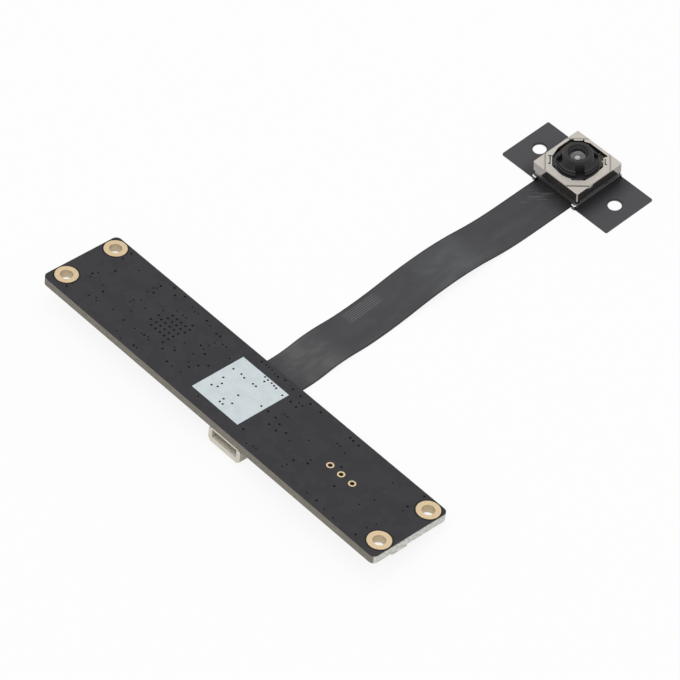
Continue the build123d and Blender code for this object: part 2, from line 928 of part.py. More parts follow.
def make_solder_joints():
    """Bevelled solder at the base's four corners, on the two sides that face along the ribbon."""
    width, depth, height = solder_size
    solder_x = base_size / 2 - solder_from_side
    with BuildPart() as base_solder_joints:
        for side in (-1, 1):
            with BuildSketch(Plane.XY.offset(pad_top)):
                with Locations((0, side * (base_size + depth) / 2)):
                    with GridLocations(2 * solder_x, 0, 2, 1):
                        Rectangle(width, depth)
            extrude(amount=height)
        outer = base_solder_joints.edges().filter_by(
            lambda edge: abs(edge.center().Y) > base_size / 2 + solder_bevel
            and edge.center().Z > pad_top + solder_bevel
        )
        chamfer(outer, solder_bevel)
    finish(base_solder_joints, "base_solder_joints")


def spring_outline(ring_inner):
    """Leaf spring in the current sketch: square rim, inner ring, and four cranked arms between."""
    ring_outer = ring_inner + spring_ring_width
    rim = shield_inner - spring_edge_gap
    inner_rim = rim - spring_rim
    from_axis = (ring_outer + inner_rim) / 2
    width = spring_arm_width
    Rectangle(2 * rim, 2 * rim)
    Rectangle(2 * inner_rim, 2 * inner_rim, mode=Mode.SUBTRACT)
    octagon(ring_outer)
    RegularPolygon(ring_inner, 8, major_radius=False, rotation=22.5, mode=Mode.SUBTRACT)
    for quarter in range(4):
        with Locations(Rotation(0, 0, 90 * quarter)):
            with Locations(((spring_arm_near + spring_arm_far) / 2, from_axis)):
                Rectangle(spring_arm_far - spring_arm_near + width, width)
            with Locations((spring_arm_near, (ring_outer + from_axis) / 2)):
                Rectangle(width, from_axis - ring_outer + 2 * width)
            with Locations((spring_arm_far, (from_axis + inner_rim) / 2)):
                Rectangle(width, inner_rim - from_axis + 2 * width)


def make_springs():
    with BuildPart() as upper_leaf_spring:
        with BuildSketch(Plane.XY.offset(upper_spring_z)):
            spring_outline(carrier_neck_radius + neck_gap)
        extrude(amount=spring_thickness)
    finish(upper_leaf_spring, "upper_leaf_spring")

    with BuildPart() as lower_leaf_springs:
        with BuildSketch(Plane.XY.offset(lower_spring_z)):
            spring_outline(carrier_hub_radius + neck_gap)
            Rectangle(2 * shield_size, lower_spring_split, mode=Mode.SUBTRACT)
        extrude(amount=spring_thickness)
    finish(lower_leaf_springs, "lower_leaf_springs")


def make_magnets():
    """Corner magnets: bars that face the coil's flats, cut to the shape of the shield's corners."""
    reach = 2 * (shield_inner - magnet_gap)
    from_axis = coil_outer + magnet_coil_gap
    with BuildPart() as corner_magnets:
        with BuildSketch(Plane.XY.offset(magnet_z)):
            for corner in range(4):
                with Locations(Rotation(0, 0, 45 + 90 * corner)):
                    with Locations((from_axis + magnet_thickness / 2, 0)):
                        Rectangle(magnet_thickness, 2 * magnet_half_width)
            Rectangle(reach, reach, mode=Mode.INTERSECT)
        extrude(amount=magnet_height)
    finish(corner_magnets, "corner_magnets")

    outer = 2 * (shield_inner - magnet_gap)
    inner = outer / 2 + carrier_flange
    with BuildPart() as spring_spacer:
        with BuildSketch(Plane.XY.offset(upper_spring_z + spring_thickness)):
            Rectangle(outer, outer)
            Rectangle(inner, inner, mode=Mode.SUBTRACT)
        extrude(amount=shield_z - shield_top - upper_spring_z - spring_thickness)
    finish(spring_spacer, "spring_spacer")


def make_lens_carrier():
    """Carrier: hub, eight-sided body for the coil, flange and cover round the spring, neck, ears."""
    hub_z = base_top + carrier_stop_gap
    flange_z = upper_spring_z - carrier_flange_height
    cover_z = upper_spring_z + spring_thickness
    levels = (
        (Circle, carrier_hub_radius, hub_z, magnet_z),
        (octagon, carrier_body, magnet_z, flange_z),
        (octagon, carrier_flange, flange_z, upper_spring_z),
        (Circle, carrier_neck_radius, upper_spring_z, carrier_top),
        (octagon, carrier_flange, cover_z, cover_z + carrier_cover_height),
    )
    with BuildPart() as lens_carrier:
        for shape, size, low, high in levels:
            with BuildSketch(Plane.XY.offset(low)):
                shape(size)
            extrude(amount=high - low)
        with BuildSketch(Plane.XY.offset(cover_z)):
            for corner in range(4):
                with Locations(Rotation(0, 0, 45 + 90 * corner)):
                    with Locations((ear_reach / 2, 0)):
                        Rectangle(ear_reach, 2 * ear_half_width)
        extrude(amount=carrier_top - cover_z)
        with BuildSketch(Plane.XY.offset(hub_z)):
            Circle(thread_radius)
        extrude(amount=carrier_top - hub_z, mode=Mode.SUBTRACT)
        with BuildSketch(Plane.XY.offset(cover_z)):
            with Locations(Rotation(0, 0, cover_notch_turn)):
                with GridLocations(2 * carrier_flange, 0, 2, 1):
                    Rectangle(2 * (carrier_flange - carrier_neck_radius), cover_notch_width)
            Circle(carrier_neck_radius, mode=Mode.SUBTRACT)
        extrude(amount=carrier_cover_height, mode=Mode.SUBTRACT)
    finish(lens_carrier, "lens_carrier")

    coil_low = magnet_z + coil_gap
    coil_high = flange_z - coil_gap
    with BuildPart() as voice_coil:
        with BuildSketch(Plane.XY.offset(coil_low)):
            octagon(coil_outer)
            RegularPolygon(coil_inner, 8, major_radius=False, rotation=22.5, mode=Mode.SUBTRACT)
        extrude(amount=coil_high - coil_low)
    finish(voice_coil, "voice_coil")


def lens_top_z(index):
    """Height of the front rim of a lens element."""
    front = carrier_top + barrel_above - window_floor_depth - lens_seat
    return front - index * lens_pitch


def make_lens_barrel():
    """Barrel turned about the optical axis: nose cone, two ledges, thread, stepped bore."""
    top = carrier_top + barrel_above
    bottom = carrier_top - barrel_below
    with BuildPart() as lens_barrel:
        with BuildSketch(Plane.XZ):
            with BuildLine():
                Polyline(
                    (rear_lens_radius, bottom),
                    (rear_lens_radius, lens_top_z(1)),
                    (front_lens_radius, lens_top_z(1)),
                    (front_lens_radius, lens_top_z(0)),
                    (window_floor_radius, lens_top_z(0)),
                    (window_floor_radius, top - window_floor_depth),
                    (window_radius, top - window_depth),
                    (window_radius, top),
                    (cone_top_radius - nose_chamfer, top),
                    (cone_top_radius, top - nose_chamfer),
                    (cone_foot_radius, carrier_top + ledge_height + nose_chamfer),
                    (ledge_radius, carrier_top + ledge_height),
                    (ledge_radius, carrier_top + flange_height + nose_chamfer),
                    (flange_radius, carrier_top + flange_height),
                    (flange_radius, carrier_top),
                    (thread_radius, carrier_top),
                    (thread_radius, bottom),
                    close=True,
                )
            make_face()
        revolve(axis=Axis.Z)
        with BuildSketch(Plane.XY.offset(carrier_top + grip_notch_floor)):
            for notch in range(4):
                with Locations(Rotation(0, 0, grip_notch_turn + 90 * notch)):
                    with Locations((grip_notch_radius + flange_radius / 2, 0)):
                        Rectangle(flange_radius, grip_notch_width)
            Circle(grip_notch_radius, mode=Mode.SUBTRACT)
        extrude(amount=barrel_above - grip_notch_floor, mode=Mode.SUBTRACT)
    finish(lens_barrel, "lens_barrel")


def make_lens_elements():
    high = lens_top_z(0)
    low = high - front_lens_rim
    radius = front_lens_radius
    with BuildPart() as front_lens_element:
        with BuildSketch(Plane.XZ):
            with BuildLine():
                dome = SagittaArc(
                    (-front_lens_clear_radius, high), (front_lens_clear_radius, high), front_lens_bulge
                )
                Polyline(dome @ 1, (radius, high), (radius, low), (-radius, low), (-radius, high), dome @ 0)
            make_face()
            split(bisect_by=Plane.YZ)
        revolve(axis=Axis.Z)
    finish(front_lens_element, "front_lens_element")

    for index, name in enumerate(rear_lens_names):
        with BuildPart() as element:
            with BuildSketch(Plane.XY.offset(lens_top_z(index + 1) - rear_lens_rim)):
                Circle(rear_lens_radius)
            extrude(amount=rear_lens_rim)
        finish(element, name)

    ring_top = lens_top_z(len(rear_lens_names)) - rear_lens_rim
    with BuildPart() as lens_retaining_ring:
        with BuildSketch(Plane.XY.offset(ring_top - lens_ring_height)):
            Circle(rear_lens_radius)
            Circle(rear_lens_radius - lens_ring_width, mode=Mode.SUBTRACT)
        extrude(amount=lens_ring_height)
    finish(lens_retaining_ring, "lens_retaining_ring")


make_circuit_board()
make_plated_rings(
    "mounting_hole_rings", mounting_points, mounting_hole_radius, mounting_pad_radius
)
make_plated_rings("header_hole_rings", header_points, header_hole_radius, header_pad_radius)
make_print_square()
make_cable_socket()
make_inductors()
make_processor()
make_chips()
make_crystal()
make_passives("capacitor", capacitor_rows)
make_passives("resistor", resistor_rows)
make_ribbon_connector()
make_ribbon()
make_sensor_plate()
make_sensor_frame()
make_actuator_base()
make_shield()
make_solder_joints()
make_springs()
make_magnets()
make_lens_carrier()
make_lens_barrel()
make_lens_elements()
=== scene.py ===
# %% [markdown]
# # Looks of an autofocus camera module
# The module is three things in a row: a long circuit board that lies face down, a flat black
# ribbon, and a small sensor head with a lens on an eared plate. Their shapes come from the packed
# CAD model. This script loads that model as a fixed frame, gives every node a finish made of
# shader nodes, and adds the board's vias, small dimples that only a close look shows.
# Everything is in metres, in the CAD model's own frame: +Z is the optical axis, +Y runs from the
# board to the lens.

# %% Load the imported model
import json
import math

import bmesh
import bpy
from mathutils import Matrix, Vector


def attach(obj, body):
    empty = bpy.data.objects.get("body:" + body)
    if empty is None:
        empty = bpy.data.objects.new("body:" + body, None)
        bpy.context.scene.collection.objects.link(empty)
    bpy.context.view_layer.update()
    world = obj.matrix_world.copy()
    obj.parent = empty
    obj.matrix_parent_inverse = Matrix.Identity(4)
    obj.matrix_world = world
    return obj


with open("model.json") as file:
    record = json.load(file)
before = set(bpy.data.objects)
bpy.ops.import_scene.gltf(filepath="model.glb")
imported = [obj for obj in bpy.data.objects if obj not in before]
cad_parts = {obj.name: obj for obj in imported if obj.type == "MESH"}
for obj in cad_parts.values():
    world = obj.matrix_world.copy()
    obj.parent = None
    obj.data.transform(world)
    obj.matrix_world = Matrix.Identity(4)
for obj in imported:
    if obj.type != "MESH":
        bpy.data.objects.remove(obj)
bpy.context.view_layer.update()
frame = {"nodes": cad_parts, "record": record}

MM = 0.001
nodes = frame["nodes"]

# %% [markdown]
# ## Where the circuit board lies
# The board leans on its cable socket, so its top is not level: it is turned about the X axis.
# Everything printed on it is placed in the board's own directions, measured from the centre of
# its top face. The turn is read from the frame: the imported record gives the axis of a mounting
# hole, and a hole is square to the board.

# %% Board directions
holes = [m for m in frame["record"]["mounts"] if m["name"].startswith("board_hole")]
BOARD_UP = Vector(holes[0]["axis"]).normalized()
BOARD_ALONG = Vector((1, 0, 0))
BOARD_ACROSS = BOARD_UP.cross(BOARD_ALONG)
HOLES_OFF_CENTRE = 0.5 * MM
PAD_HEIGHT = 0.04 * MM
BOARD_HALF_LENGTH = 40.0
BOARD_HALF_WIDTH = 8.0
BOARD_THICKNESS = holes[0]["dims"]["length_mm"] * MM - 2 * PAD_HEIGHT
board_middle = sum((Vector(m["pos_m"]) for m in holes), Vector()) / len(holes)
BOARD_CENTRE = board_middle - BOARD_ACROSS * HOLES_OFF_CENTRE + BOARD_UP * BOARD_THICKNESS / 2


def on_board(x, y, z=0.0):
    """Point in the frame, from millimetres along, across and above the board's top face."""
    return BOARD_CENTRE + (BOARD_ALONG * x + BOARD_ACROSS * y + BOARD_UP * z) * MM


print("board tilt", round(math.degrees(math.acos(BOARD_UP.z)), 2), "degrees")

# %% [markdown]
# ## Camera
# The photograph was taken from far away with a long lens: the board's edges are nearly parallel
# in it. The camera's place was worked out from the board's corners and holes, so it is given
# as the place itself and the directions of the image's right and down sides.

# %% Camera
VIEW_FROM = Vector((0.3018318, -0.3198131, 0.4629281))
IMAGE_RIGHT = Vector((0.67361398, 0.73892876, -0.01511559))
IMAGE_DOWN = Vector((0.55070609, -0.51545847, -0.65652521))
FOCAL_LENGTH = 199.6

camera_data = bpy.data.cameras.new("view")
camera_data.sensor_width = 36.0
camera_data.lens = FOCAL_LENGTH
camera_data.clip_start = 0.01
camera_data.clip_end = 50.0
camera = bpy.data.objects.new("view", camera_data)
bpy.context.scene.collection.objects.link(camera)
backward = IMAGE_RIGHT.cross(-IMAGE_DOWN).normalized()
turn = Matrix((IMAGE_RIGHT, -IMAGE_DOWN, backward)).transposed()
camera.matrix_world = Matrix.Translation(VIEW_FROM) @ turn.to_4x4()
bpy.context.scene.camera = camera
bpy.context.scene.view_settings.view_transform = "Standard"
print("camera", [round(value, 3) for value in camera.location], "lens", FOCAL_LENGTH)

# %% [markdown]
# ## Shader maths as ordinary arithmetic
# A finish is a graph of nodes, and most of its nodes are sums and products. They could be added
# one by one, but a sum then takes four lines. Instead, one small class wraps a node's output
# socket and overloads Python's operators, so that `1 - mask * 0.3` adds the Math nodes by itself.
# Two more methods save most of the remaining work: a soft step, and a soft band made of two.


# %% Socket arithmetic
class Value:
    """The output socket of a shader node, with arithmetic that adds Math nodes."""

    def __init__(self, graph, socket):
        self.graph = graph
        self.socket = socket

    def maths(self, operation, *values, clamp=False):
        settings = {"operation": operation, "use_clamp": clamp}
        return self.graph.node("ShaderNodeMath", settings, dict(enumerate(values)))

    def __add__(self, other):
        return self.maths("ADD", self, other)

    def __radd__(self, other):
        return self.maths("ADD", other, self)

    def __sub__(self, other):
        return self.maths("SUBTRACT", self, other)

    def __rsub__(self, other):
        return self.maths("SUBTRACT", other, self)

    def __mul__(self, other):
        return self.maths("MULTIPLY", self, other)

    def __rmul__(self, other):
        return self.maths("MULTIPLY", other, self)

    def __gt__(self, other):
        return self.maths("GREATER_THAN", self, other)

    def __lt__(self, other):
        return self.maths("LESS_THAN", self, other)

    def __abs__(self):
        return self.maths("ABSOLUTE", self)

    def clamped(self):
        return self.maths("ADD", self, 0.0, clamp=True)

    def sine(self):
        return self.maths("SINE", self)

    def ripple(self):
        """Sine of an angle in radians, moved to run from 0 to 1."""
        return self.sine() * 0.5 + 0.5

    def power(self, exponent):
        return self.maths("POWER", self, exponent)

    def between(self, low, high):
        """0 at low, 1 at high, with a soft start and end. Low may be above high."""
        settings = {"interpolation_type": "SMOOTHSTEP", "clamp": True}
        return self.graph.node("ShaderNodeMapRange", settings, {0: self, 1: low, 2: high})

    def band(self, start, full, fading, end):
        """1 from full to fading, and 0 outside start and end."""
        return self.between(start, full) * self.between(end, fading)


print("Value: sums, products, steps and bands of sockets")

# %% [markdown]
# ## Adding any node in one call
# A material and the world each hold a tree of nodes. This class wraps such a tree. Its one method
# for nodes takes the node's type, its settings, and the values or links of its sockets.


# %% Node graph
class Graph:
    """A tree of shader nodes."""

    def __init__(self, tree):
        self.tree = tree

    def set_input(self, socket, value):
        """Links a Value to a socket, or sets a number, a vector or a colour on it."""
        if isinstance(value, Value):
            self.tree.links.new(value.socket, socket)
        elif socket.type == "RGBA":
            socket.default_value = (*value, 1.0)
        else:
            socket.default_value = value

    def node(self, kind, settings=None, inputs=None, output=0):
        """Adds a node: first its settings, then the values or links of its sockets."""
        node = self.tree.nodes.new(kind)
        for name, value in (settings or {}).items():
            setattr(node, name, value)
        for name, value in (inputs or {}).items():
            self.set_input(node.inputs[name], value)
        return Value(self, node.outputs[output])

    def seen_directly(self):
        """1 for rays from the camera and from mirrors and glass, 0 for rays that light things."""
        rays = ("Is Camera Ray", "Is Glossy Ray", "Is Transmission Ray")
        camera, mirror, glass = (self.node("ShaderNodeLightPath", output=name) for name in rays)
        return (camera + mirror + glass).clamped()


print("Graph: adds any node")

# %% [markdown]
# ## A finish is a material
# Lengths inside a finish are millimetres: Texture Coordinate's Object output is the place in the
# frame, in metres, and one Vector Math node turns it into millimetres. Numbers that hold for the
# whole surface are set on the shader's own sockets. A Mix node has a set of sockets for each kind
# of value, and the numbers below are those of its colour set.

# %% Finish
MIX_SHARE, MIX_FIRST, MIX_SECOND, MIX_RESULT = 0, 6, 7, 2
NOISE_ROUGHNESS = 0.55


class Finish(Graph):
    """One procedural material, built node by node."""

    def __init__(self, name):
        self.material = bpy.data.materials.new(name)
        self.material.use_nodes = True
        super().__init__(self.material.node_tree)
        self.shader = self.tree.nodes["Principled BSDF"]
        coordinates = self.node("ShaderNodeTexCoord", output="Object")
        self.place = self.vector("SCALE", coordinates, Scale=1 / MM)

    def vector(self, operation, *values, output=0, **named):
        inputs = dict(enumerate(values))
        inputs.update(named)
        return self.node("ShaderNodeVectorMath", {"operation": operation}, inputs, output)

    def along(self, direction, origin=(0, 0, 0)):
        """Distance in millimetres along a direction, from an origin in metres."""
        shift = -Vector(origin).dot(Vector(direction)) / MM
        return self.vector("DOT_PRODUCT", self.place, tuple(direction), output="Value") + shift

    def facing(self, direction):
        """1 where the surface faces a direction, 0 edge on, -1 where it faces away."""
        normal = self.node("ShaderNodeNewGeometry", output="Normal")
        return self.vector("DOT_PRODUCT", normal, tuple(direction), output="Value")

    def noise(self, size, detail=3.0, stretch=(1, 1, 1), distortion=0.0):
        """Noise around 0.5 whose features are about size millimetres, longer where stretched."""
        scale = tuple(1.0 / (size * amount) for amount in stretch)
        place = self.vector("MULTIPLY", self.place, scale)
        inputs = {"Vector": place, "Scale": 1.0, "Detail": detail,
                  "Roughness": NOISE_ROUGHNESS, "Distortion": distortion}
        return self.node("ShaderNodeTexNoise", {}, inputs, "Fac")

    def mix(self, share, first, second):
        """Colour that goes from first to second as share goes from 0 to 1."""
        inputs = {MIX_SHARE: share, MIX_FIRST: first, MIX_SECOND: second}
        return self.node("ShaderNodeMix", {"data_type": "RGBA"}, inputs, MIX_RESULT)

    def bump(self, height, depth):
        """Normal of a surface whose height varies from 0 to 1 over depth millimetres."""
        inputs = {"Height": height, "Distance": depth * MM, "Strength": 1.0}
        return self.node("ShaderNodeBump", {}, inputs)

    def surface(self, **inputs):
        """Sets the shader's sockets, named with _ for a space, and gives the material back."""
        for name, value in inputs.items():
            self.set_input(self.shader.inputs[name.replace("_", " ")], value)
        return self.material


def grey(level):
    return (level, level, level)


print("Finish: one material")

# %% [markdown]
# ## Plain floor
# A product on white lies on a matte sheet. To the camera, and in mirrors and glass, the sheet is
# mostly plain white, so the background has no tone of its own. A small share of it is shaded as
# matte paper is, which keeps the object's soft shadow.

# %% Floor
FLOOR_HALF = 3.0
FLOOR_SHADE = 0.12
floor_mesh = bpy.data.meshes.new("floor")
corners = [(x * FLOOR_HALF, y * FLOOR_HALF, 0) for x, y in ((-1, -1), (1, -1), (1, 1), (-1, 1))]
floor_mesh.from_pydata(corners, [], [(0, 1, 2, 3)])
floor = bpy.data.objects.new("floor", floor_mesh)
bpy.context.scene.collection.objects.link(floor)


def pale_backdrop():
    """White matte sheet that the camera and mirrors see as nearly plain white."""
    finish = Finish("floor_sheet")
    finish.surface(Base_Color=finish.mix(finish.noise(40.0), grey(0.9), grey(0.92)), Roughness=0.9)
    matte = Value(finish, finish.shader.outputs[0])
    glow = finish.node("ShaderNodeEmission")
    plain = finish.seen_directly() * (1 - FLOOR_SHADE)
    blend = finish.node("ShaderNodeMixShader", {}, {0: plain, 1: matte, 2: glow})
    finish.set_input(finish.tree.nodes["Material Output"].inputs[0], blend)
    return finish.material


floor_mesh.materials.append(pale_backdrop())
print("floor", FLOOR_HALF * 2, "m wide")

# %% [markdown]
# ## Soft boxes
# A soft box is a broad lamp, and its breadth is what softens the shadow. Here a broad one hangs
# nearly overhead, and a small one leans behind the object, where its image falls on the lens. An
# area lamp's power is spread over its disc, so it is worked out from the brightness and the size.

# %% Soft boxes
OBJECT_CENTRE = Vector((0.0, -0.037, 0.0))


def soft_box(name, direction, distance, width, radiance):
    """Round area lamp that faces the object from a direction, lengths in metres."""
    direction = Vector(direction).normalized()
    data = bpy.data.lights.new(name, "AREA")
    data.shape = "DISK"
    data.size = width
    data.energy = radiance * math.pi * math.pi * width * width / 4
    lamp = bpy.data.objects.new(name, data)
    lamp.location = OBJECT_CENTRE + direction * distance
    lamp.rotation_euler = direction.to_track_quat("Z", "Y").to_euler()
    bpy.context.scene.collection.objects.link(lamp)
    print(name, [round(value, 3) for value in lamp.location], round(data.energy, 2), "W")


soft_box("overhead_box", (0.1, -0.25, 1.0), distance=1.0, width=0.8, radiance=1.3)
soft_box("lens_box", (-0.25, 0.27, 0.93), distance=0.8, width=0.34, radiance=2.9)

# %% [markdown]
# ## Pale surroundings
# The room round the object gives most of the even light. It could be a picture of a studio, but
# an even colour has no pattern to show in the metal. It is a little dimmer for the rays that
# light surfaces than for the camera, mirrors and glass, which see it as plain white.

# %% World
WORLD_LEVEL = 0.68


def pale_surroundings():
    """Even grey-white room; plain white where the camera or a mirror looks at it."""
    world = bpy.data.worlds.new("pale_room")
    world.use_nodes = True
    room = Graph(world.node_tree)
    background = room.tree.nodes["Background"]
    room.set_input(background.inputs["Color"], grey(1.0))
    level = room.seen_directly() * (1 - WORLD_LEVEL) + WORLD_LEVEL
    room.set_input(background.inputs["Strength"], level)
    return world


bpy.context.scene.world = pale_surroundings()
print("world level", WORLD_LEVEL)

# %% [markdown]
# ## Giving a CAD node its finish
# A CAD node keeps its mesh. Its look changes by putting another material into its slot. The file
# also carries the true direction of every curved face, so facets don't show and nothing has to
# be smoothed here.


# %% Dressing CAD nodes
def dress(material, *names):
    """Puts one finish on CAD nodes."""
    for name in names:
        mesh = nodes[name].data
        mesh.materials.clear()
        mesh.materials.append(material)
    print(material.name, "on", ", ".join(names))


print(len(nodes), "nodes to dress")

# %% [markdown]
# ## Gap round the gold lands
# The solder mask keeps clear of the gold lands, so each screw hole's land has a thin dark gap of
# bare laminate round it. How far the lands reach is measured on the rings themselves: on the
# vertices of their upper half, each from the hole that it lies nearest to.

# %% Reach of the lands
MASK_GAP = 0.3
land_tops = [Vector(m["pos_m"]) + BOARD_UP * BOARD_THICKNESS / 2 for m in holes]


def land_reach():
    """Radius of the screw holes' lands in millimetres."""
    reaches = []
    for vertex in nodes["mounting_hole_rings"].data.vertices:
        depth = (land_tops[0] - vertex.co).dot(BOARD_UP)
        if depth < BOARD_THICKNESS / 2:  # one half's vertices are enough
            reaches.append(min((vertex.co - top).length for top in land_tops))
    return max(reaches) / MM


LAND_RADIUS = land_reach()
print("land radius", round(LAND_RADIUS, 2), "mm")

# %% [markdown]
# ## Colours of paint and laminate
# The board is glass-fibre laminate. Both faces carry dark solder mask, a thin matte paint that
# follows the copper under it, so broad areas differ a little in tone. The cut edges are bare: tan
# resin with thin lines of glass cloth along the routed long sides, and broken pale fibres at the
# ends, where the boards of a panel were snapped apart. Each gets a function of its own.


# %% Paint and laminate
PLY_WAVE = 34.0  # radians of a sine in each millimetre of thickness


def mask_paint(finish, pour):
    """Colour of the painted faces: paler over copper, and bare laminate round the gold lands."""
    speck = finish.noise(0.12, detail=2.0).between(0.62, 0.75)
    colour = finish.mix(pour, (0.0220, 0.0210, 0.0250), (0.0265, 0.0255, 0.0295))
    colour = finish.mix(speck * 0.25, colour, (0.065, 0.063, 0.068))
    for top in land_tops:
        from_hole = finish.vector("DISTANCE", finish.place, tuple(top / MM), output="Value")
        gap = (from_hole - LAND_RADIUS).between(MASK_GAP + 0.05, MASK_GAP - 0.05)
        colour = finish.mix(gap, colour, (0.004, 0.003, 0.002))
    return colour


def routed_side(finish, level, fibres):
    """Colour of the long cut edges: tan plies with pale and dark fibres."""
    uneven = finish.noise(1.2, stretch=(4, 1, 1)) * 3.0
    plies = (level * PLY_WAVE + uneven).ripple()
    colour = finish.mix(plies, (0.185, 0.165, 0.137), (0.268, 0.246, 0.208))
    colour = finish.mix(fibres.between(0.55, 0.75) * 0.7, colour, (0.42, 0.40, 0.35))
    return finish.mix(fibres.between(0.45, 0.3) * 0.5, colour, (0.13, 0.115, 0.09))


def snapped_end(finish, torn):
    """Colour of the torn ends: bundles of broken pale fibres."""
    return finish.mix(torn.between(0.35, 0.65), (0.53, 0.53, 0.48), (0.80, 0.81, 0.77))


print("paint, side and end colours ready")

# %% [markdown]
# ## Circuit board
# Paint and bare laminate could be two materials, but the board is one solid, and its faces would
# have to be sorted. So one finish does all of it, by which way a point faces and where it is. A
# thread of mask overhangs the top of each edge. The height that feeds the bump has the copper
# areas, the weave of the glass cloth and a fine grain on the faces, and fibres on the edges.


# %% Solder mask and bare edge
CLOTH_WAVE = 9.0  # radians of a sine in each millimetre along and across


def solder_mask():
    finish = Finish("solder_mask")
    level = finish.along(BOARD_UP, BOARD_CENTRE)
    lengthwise = finish.along(BOARD_ALONG, BOARD_CENTRE)
    pour = finish.noise(2.6, detail=1.0, distortion=0.4).between(0.47, 0.53)
    warp = (finish.along(BOARD_ALONG) * CLOTH_WAVE).sine()
    weft = (finish.along(BOARD_ACROSS) * CLOTH_WAVE).sine()
    cloth = (warp * weft) * 0.5 + 0.5
    fibres = finish.noise(0.16, detail=4.0, stretch=(5, 1, 1))
    torn = finish.noise(0.3, detail=5.0, stretch=(1, 2, 1))
    stub = lengthwise.between(BOARD_HALF_LENGTH - 0.02, BOARD_HALF_LENGTH + 0.02)
    flat = abs(finish.facing(BOARD_UP)).between(0.5, 0.8) * (1 - stub)
    at_end = abs(finish.facing(BOARD_ALONG)).between(0.6, 0.8)
    overhang = (level + torn * 0.1).between(-0.06, -0.02)
    end = snapped_end(finish, torn)
    edge = finish.mix(at_end, routed_side(finish, level, fibres), end)
    edge = finish.mix(overhang, edge, (0.03, 0.028, 0.028))
    edge = finish.mix(stub, edge, end)
    height = pour * 0.5 + cloth * 0.12 + finish.noise(0.25) * 0.2
    rough_edge = (fibres + torn * at_end * 2.0) * (1 - flat)
    return finish.surface(
        Base_Color=finish.mix(flat, edge, mask_paint(finish, pour)),
        Roughness=0.6 + finish.noise(0.7) * 0.08 + (1 - flat) * 0.2,
        Specular_IOR_Level=0.3,
        Normal=finish.bump(height * flat + rough_edge * 2.0, 0.02),
    )


dress(solder_mask(), "circuit_board")

# %% [markdown]
# ## Gold-plated rings
# The lands round the screw holes and the header holes are copper with thin pale gold. Such
# plating is satin, not a mirror: it takes on the copper's fine grain, and handling leaves faint
# scratches and dull patches. Scratches could be drawn one by one, but noise stretched along X is
# enough at this size. The wide bores are as pale as the lands. The header holes are so narrow that
# little light gets in, so their walls are painted darker, as painted shade.


# %% Gold plating
def gold_plating(name, wall_dark, wall_light):
    finish = Finish(name)
    grain = finish.noise(0.08, detail=4.0)
    patches = finish.noise(0.9, detail=2.0)
    scratches = finish.noise(0.05, detail=2.0, stretch=(30, 1, 1)).between(0.6, 0.72)
    top = abs(finish.facing(BOARD_UP)).between(0.3, 0.7)
    land = finish.mix(patches, (0.572, 0.446, 0.273), (0.640, 0.520, 0.357))
    land = finish.mix(scratches * 0.3, land, (0.70, 0.60, 0.46))
    wall = finish.mix(patches, wall_dark, wall_light)
    return finish.surface(
        Base_Color=finish.mix(top, wall, land),
        Metallic=1.0,
        Roughness=0.5 + patches * 0.12 + grain * 0.06,
        Normal=finish.bump(grain + scratches * 0.4, 0.004),
    )


dress(gold_plating("pale_gold_plating", (0.58, 0.48, 0.33), (0.70, 0.60, 0.45)),
      "mounting_hole_rings", "ribbon_socket_contacts")
# Painted shade: the header holes' walls get dark colours, for the little light that gets in.
dress(gold_plating("gold_plating_painted_shade_bore", (0.15, 0.10, 0.05), (0.22, 0.15, 0.08)),
      "header_hole_rings")

# %% [markdown]
# ## White printed square
# The square is board ink laid on by screen printing. It is matte, a little uneven in thickness,
# and bluish white. Two noises do it: broad clouds for the ink's thickness and a fine grain for
# the screen's mesh. Vias under it show as small dark dots, which come later as geometry.


# %% Board ink
def board_ink():
    finish = Finish("white_board_ink")
    cloud = finish.noise(1.6, detail=3.0)
    grain = finish.noise(0.07, detail=2.0)
    colour = finish.mix(cloud.between(0.35, 0.65), (0.585, 0.655, 0.675), (0.635, 0.695, 0.715))
    colour = finish.mix(grain.between(0.62, 0.78) * 0.5, colour, (0.48, 0.55, 0.57))
    return finish.surface(
        Base_Color=colour,
        Roughness=0.62 + grain * 0.15,
        Normal=finish.bump(grain + cloud * 0.4, 0.012),
    )


dress(board_ink(), "white_print_square")

# %% [markdown]
# ## Ivory cable socket
# The socket is moulded from ivory nylon. Its outside is nearly smooth. Its cavity is deep and
# narrow, and painted shade turns it dark tan from the mouth inwards. The two outer ends are
# painted a little darker, as painted shade. Fine mould grain and slight clouds keep it from
# looking like a flat colour.


# %% Ivory nylon
def ivory_nylon():
    finish = Finish("ivory_nylon")
    cloud = finish.noise(1.4, detail=3.0)
    grain = finish.noise(0.06, detail=3.0)
    mouth = finish.along(-BOARD_ACROSS, on_board(0, -BOARD_HALF_WIDTH)).between(-2.6, 0.1)
    end_shade = abs(finish.facing(BOARD_ALONG)).between(0.6, 0.9) * mouth
    colour = finish.mix(cloud, (0.70, 0.64, 0.54), (0.78, 0.73, 0.65))
    # Painted shade: dark tan inside the cavity, and darker on the two outer ends.
    cavity_shade = finish.mix(0.65, colour, (0.33, 0.27, 0.16))
    colour = finish.mix(mouth, cavity_shade, colour)
    colour = finish.mix(end_shade * 0.6, colour, (0.42, 0.40, 0.33))
    return finish.surface(
        Base_Color=colour,
        Roughness=0.4 + grain * 0.15,
        Subsurface_Weight=0.05,
        Normal=finish.bump(grain * 0.6 + cloud * 0.4, 0.01),
    )


dress(ivory_nylon(), "cable_socket_housing")

# %% [markdown]
# ## Where the ribbon's strip runs
# The ribbon is a flexible circuit: copper tracks between two films, with a black satin cover film
# on top. It runs a little askew of the Y axis, and its tracks follow it. So its sides are measured
# along that skew on the CAD mesh, between the board and the head pad.

